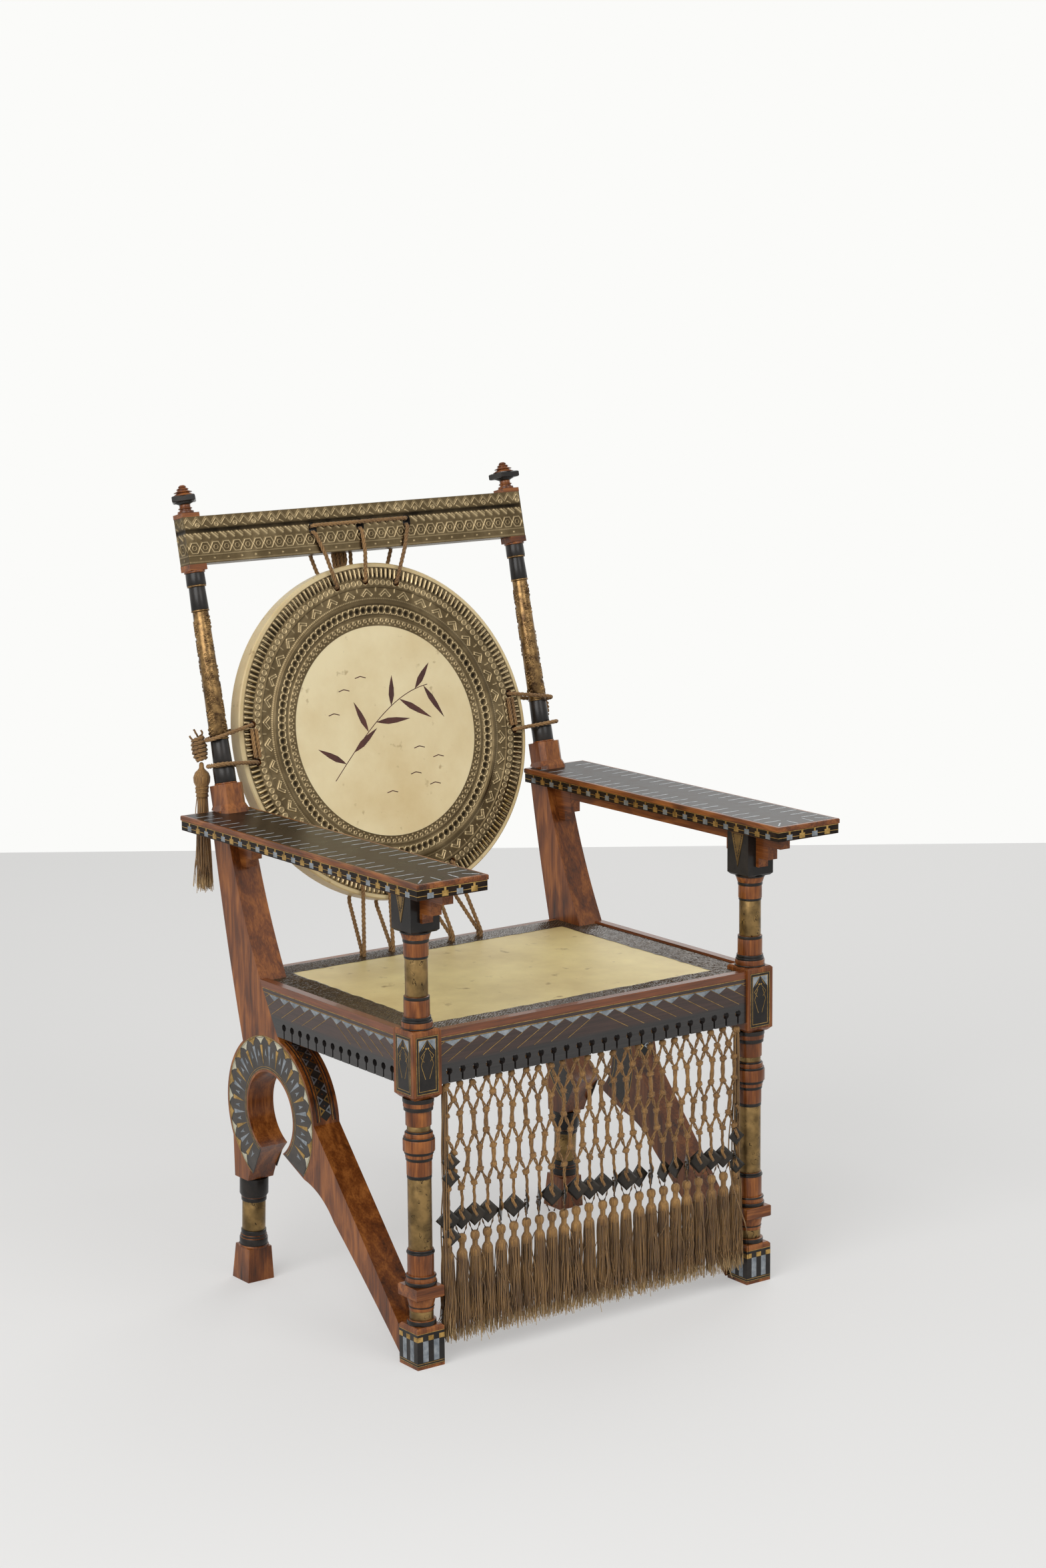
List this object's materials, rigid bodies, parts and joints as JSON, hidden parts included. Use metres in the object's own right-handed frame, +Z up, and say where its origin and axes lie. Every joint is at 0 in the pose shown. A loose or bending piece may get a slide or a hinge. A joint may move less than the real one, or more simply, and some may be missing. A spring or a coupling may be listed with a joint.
{
  "type": "armchair",
  "caption": "Inlaid wooden armchair with turned posts, a round drum-like back slung on ropes and a knotted front fringe.",
  "frame": {"origin": "on the floor, at the middle of the footprint's box", "axes": "+Z up, -Y to the front of the chair, +X to the left of someone sitting in it"},
  "size_m": [0.6852, 0.687, 1.0985],
  "materials": {
    "walnut": "waxed",
    "ebonised": "satin",
    "inlay": "satin inlay of brass, pewter and dark wood",
    "brass": "aged and engraved",
    "copper": "aged and embossed",
    "bronze": "dark, embossed",
    "vellum": "stretched vellum",
    "bark_cloth": "deeply embossed",
    "rope": "three-strand twisted silk rope",
    "leather": "matt"
  },
  "bodies": {
    "root": {"left_front_foot": "walnut", "left_front_post": "walnut", "left_seat_block": "walnut", "left_arm_post": "walnut", "left_capital": "walnut", "left_brass_sleeves": "brass", "left_arm_corbels": "walnut", "left_arm_under_rail": "walnut", "left_arm": "walnut", "left_side_frame": "walnut", "left_side_inlay": "inlay", "left_back_leg": "walnut", "left_back_foot": "walnut", "left_post_base_block": "walnut", "left_back_post": "walnut", "left_back_post_metal": "copper", "left_finial": "walnut", "left_side_apron": "ebonised", "right_front_foot": "walnut", "right_front_post": "walnut", "right_seat_block": "walnut", "right_arm_post": "walnut", "right_capital": "walnut", "right_brass_sleeves": "brass", "right_arm_corbels": "walnut", "right_arm_under_rail": "walnut", "right_arm": "walnut", "right_side_frame": "walnut", "right_side_inlay": "inlay", "right_back_leg": "walnut", "right_back_foot": "walnut", "right_post_base_block": "walnut", "right_back_post": "walnut", "right_back_post_metal": "copper", "right_finial": "walnut", "right_side_apron": "ebonised", "top_rail_core": "walnut", "top_rail_sheet": "bronze", "rail_collars": "bronze", "disc_body": "walnut", "disc_rim": "vellum", "disc_inlay_ring": "inlay", "disc_vellum": "vellum", "back_lashings": "rope", "seat_board": "walnut", "seat_border": "bark_cloth", "seat_panel": "vellum", "back_rail": "walnut", "front_apron": "ebonised", "fringe_hangers": "rope"},
    "fringe": {"fringe_net": "rope", "fringe_squares": "leather", "fringe_tassels": "rope"},
    "left_tassel": {"left_tassel": "rope"},
    "right_tassel": {"right_tassel": "rope"}
  },
  "joints": [
    {"name": "fringe_swing", "type": "hinge", "parent": "root", "child": "fringe", "pos_m": [0, -0.24981, 0.3676], "axis": [1, 0, 0], "range_deg": [-30, 60]},
    {"name": "left_tassel_swing", "type": "hinge", "parent": "root", "child": "left_tassel", "pos_m": [-0.29105, 0.25694, 0.72015], "axis": [1, 0, 0], "range_deg": [-3, 45]},
    {"name": "right_tassel_swing", "type": "hinge", "parent": "root", "child": "right_tassel", "pos_m": [0.29105, 0.25694, 0.72015], "axis": [1, 0, 0], "range_deg": [-3, 45]}
  ]
}
